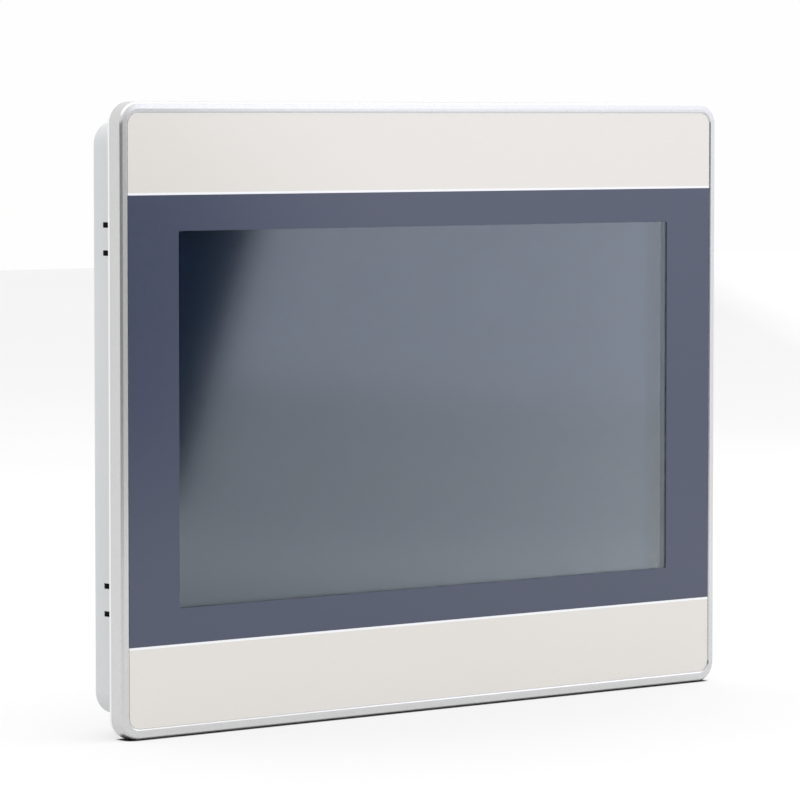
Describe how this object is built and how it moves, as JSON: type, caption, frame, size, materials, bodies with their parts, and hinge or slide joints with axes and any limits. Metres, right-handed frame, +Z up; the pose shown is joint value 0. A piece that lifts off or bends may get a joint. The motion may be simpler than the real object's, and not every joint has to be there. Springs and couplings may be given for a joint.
{
  "type": "hmi touch panel",
  "caption": "Flush-mounted operator terminal: silver bezel, banded slate overlay, wide touch screen, stepped rear housing with ports, clamp slots and seal.",
  "frame": {"origin": "centre of the panel cut-out, on the flange's rear face where it meets the panel", "axes": "+Y backwards through the panel, +X to the right seen from the front, +Z up; the screen faces -Y"},
  "size_m": [0.271, 0.0377, 0.213],
  "materials": {
    "silver_bezel": "satin silver painted moulding",
    "printed_overlay": "matt printed polycarbonate film, slate blue with silver bands",
    "touch_film": "anti-glare hard coated film",
    "touch_glass": "clear glass",
    "adhesive": "clear acrylic tape",
    "foam": "closed cell foam tape",
    "flex_circuit": "polyimide flex circuit",
    "lcd_steel": "thin stamped steel",
    "lcd_panel": "dark display glass behind a polariser",
    "optical_film": "translucent diffuser",
    "light_guide": "clear acrylic",
    "white_plastic": "white moulding",
    "led_strip": "light strip",
    "circuit_board": "green solder mask",
    "flat_cable": "flat flexible cable",
    "wire_insulation": "red insulation",
    "zinc_sheet": "zinc plated sheet steel",
    "screw_zinc": "zinc plated",
    "brass_post": "turned brass",
    "socket_plastic": "ivory nylon",
    "chip_black": "moulded epoxy",
    "anodised_sink": "black anodised",
    "ferrite": "sintered ferrite",
    "capacitor_can": "drawn can",
    "fuse_glass": "glass tube with nickel caps",
    "black_plastic": "moulded",
    "cell_steel": "stainless",
    "terminal_green": "moulded nylon",
    "tinned_copper": "tin plated",
    "clamp_brass": "nickel plated",
    "connector_nickel": "nickel plated steel",
    "gold_contact": "gold plated",
    "switch_red": "moulded",
    "slider_white": "moulded",
    "button_red": "moulded",
    "gasket_rubber": "foamed seal",
    "grey_housing": "fine textured light grey moulding",
    "blank_label": "blank silver polyester label"
  },
  "bodies": {
    "panel": {"front_bezel": "silver_bezel", "graphic_overlay": "printed_overlay", "touch_film": "touch_film", "touch_spacer": "adhesive", "touch_glass": "touch_glass", "touch_tape": "foam", "touch_tail": "flex_circuit", "lcd_frame": "lcd_steel", "lcd_cell": "lcd_panel", "diffuser_films": "optical_film", "light_guide": "light_guide", "lcd_mid_frame": "white_plastic", "backlight_strip": "led_strip", "lcd_back_plate": "lcd_steel", "lcd_driver_board": "circuit_board", "lcd_cable": "flat_cable", "backlight_cable": "wire_insulation", "lcd_cushions": "foam", "chassis_plate": "zinc_sheet", "chassis_screws": "screw_zinc", "board_standoffs": "brass_post", "mainboard": "circuit_board", "board_screws": "screw_zinc", "board_sockets": "socket_plastic", "processor": "chip_black", "heat_sink": "anodised_sink", "memory_chips": "chip_black", "power_inductors": "ferrite", "board_capacitors": "capacitor_can", "fuse": "fuse_glass", "coin_cell_holder": "black_plastic", "coin_cell": "cell_steel", "buzzer": "black_plastic", "power_terminal": "terminal_green", "terminal_bars": "tinned_copper", "com_shells": "connector_nickel", "com_inserts": "black_plastic", "com_pins": "gold_contact", "jack_screws": "connector_nickel", "ethernet_jack": "connector_nickel", "usb_host_port": "connector_nickel", "usb_device_port": "connector_nickel", "dip_switch_body": "switch_red", "reset_switch_body": "black_plastic", "panel_gasket": "gasket_rubber", "rear_cover": "grey_housing", "cover_screws": "screw_zinc", "rating_label": "blank_label"},
    "terminal_screw_1": {"terminal_screw_1": "screw_zinc"},
    "wire_clamp_1": {"wire_clamp_1": "clamp_brass"},
    "terminal_screw_2": {"terminal_screw_2": "screw_zinc"},
    "wire_clamp_2": {"wire_clamp_2": "clamp_brass"},
    "terminal_screw_3": {"terminal_screw_3": "screw_zinc"},
    "wire_clamp_3": {"wire_clamp_3": "clamp_brass"},
    "dip_slider_1": {"dip_slider_1": "slider_white"},
    "dip_slider_2": {"dip_slider_2": "slider_white"},
    "dip_slider_3": {"dip_slider_3": "slider_white"},
    "dip_slider_4": {"dip_slider_4": "slider_white"},
    "reset_button": {"reset_button": "button_red"}
  },
  "joints": [
    {"name": "wire_clamp_1_lift", "type": "slide", "parent": "panel", "child": "wire_clamp_1", "axis": [0, 1, 0], "range_m": [0, 0.00187]},
    {"name": "terminal_screw_1_turn", "type": "hinge", "parent": "panel", "child": "terminal_screw_1", "pos_m": [0.07292, 0.0235, -0.0705], "axis": [0, -1, 0], "range_deg": [0, 1350]},
    {"name": "wire_clamp_2_lift", "type": "slide", "parent": "panel", "child": "wire_clamp_2", "axis": [0, 1, 0], "range_m": [0, 0.00187]},
    {"name": "terminal_screw_2_turn", "type": "hinge", "parent": "panel", "child": "terminal_screw_2", "pos_m": [0.078, 0.0235, -0.0705], "axis": [0, -1, 0], "range_deg": [0, 1350]},
    {"name": "wire_clamp_3_lift", "type": "slide", "parent": "panel", "child": "wire_clamp_3", "axis": [0, 1, 0], "range_m": [0, 0.00187]},
    {"name": "terminal_screw_3_turn", "type": "hinge", "parent": "panel", "child": "terminal_screw_3", "pos_m": [0.08308, 0.0235, -0.0705], "axis": [0, -1, 0], "range_deg": [0, 1350]},
    {"name": "dip_slider_1_slide", "type": "slide", "parent": "panel", "child": "dip_slider_1", "axis": [0, 0, 1], "range_m": [0, 0.002]},
    {"name": "dip_slider_2_slide", "type": "slide", "parent": "panel", "child": "dip_slider_2", "axis": [0, 0, 1], "range_m": [0, 0.002]},
    {"name": "dip_slider_3_slide", "type": "slide", "parent": "panel", "child": "dip_slider_3", "axis": [0, 0, 1], "range_m": [0, 0.002]},
    {"name": "dip_slider_4_slide", "type": "slide", "parent": "panel", "child": "dip_slider_4", "axis": [0, 0, 1], "range_m": [0, 0.002]},
    {"name": "reset_button_press", "type": "slide", "parent": "panel", "child": "reset_button", "axis": [0, -1, 0], "range_m": [0, 0.0005], "stiffness_N_per_m": 1500, "springref_m": -0.0005}
  ],
  "couplings": [
    {"joint": "terminal_screw_1_turn", "follows": "wire_clamp_1_lift", "rad_per_m": 12566},
    {"joint": "terminal_screw_2_turn", "follows": "wire_clamp_2_lift", "rad_per_m": 12566},
    {"joint": "terminal_screw_3_turn", "follows": "wire_clamp_3_lift", "rad_per_m": 12566}
  ]
}
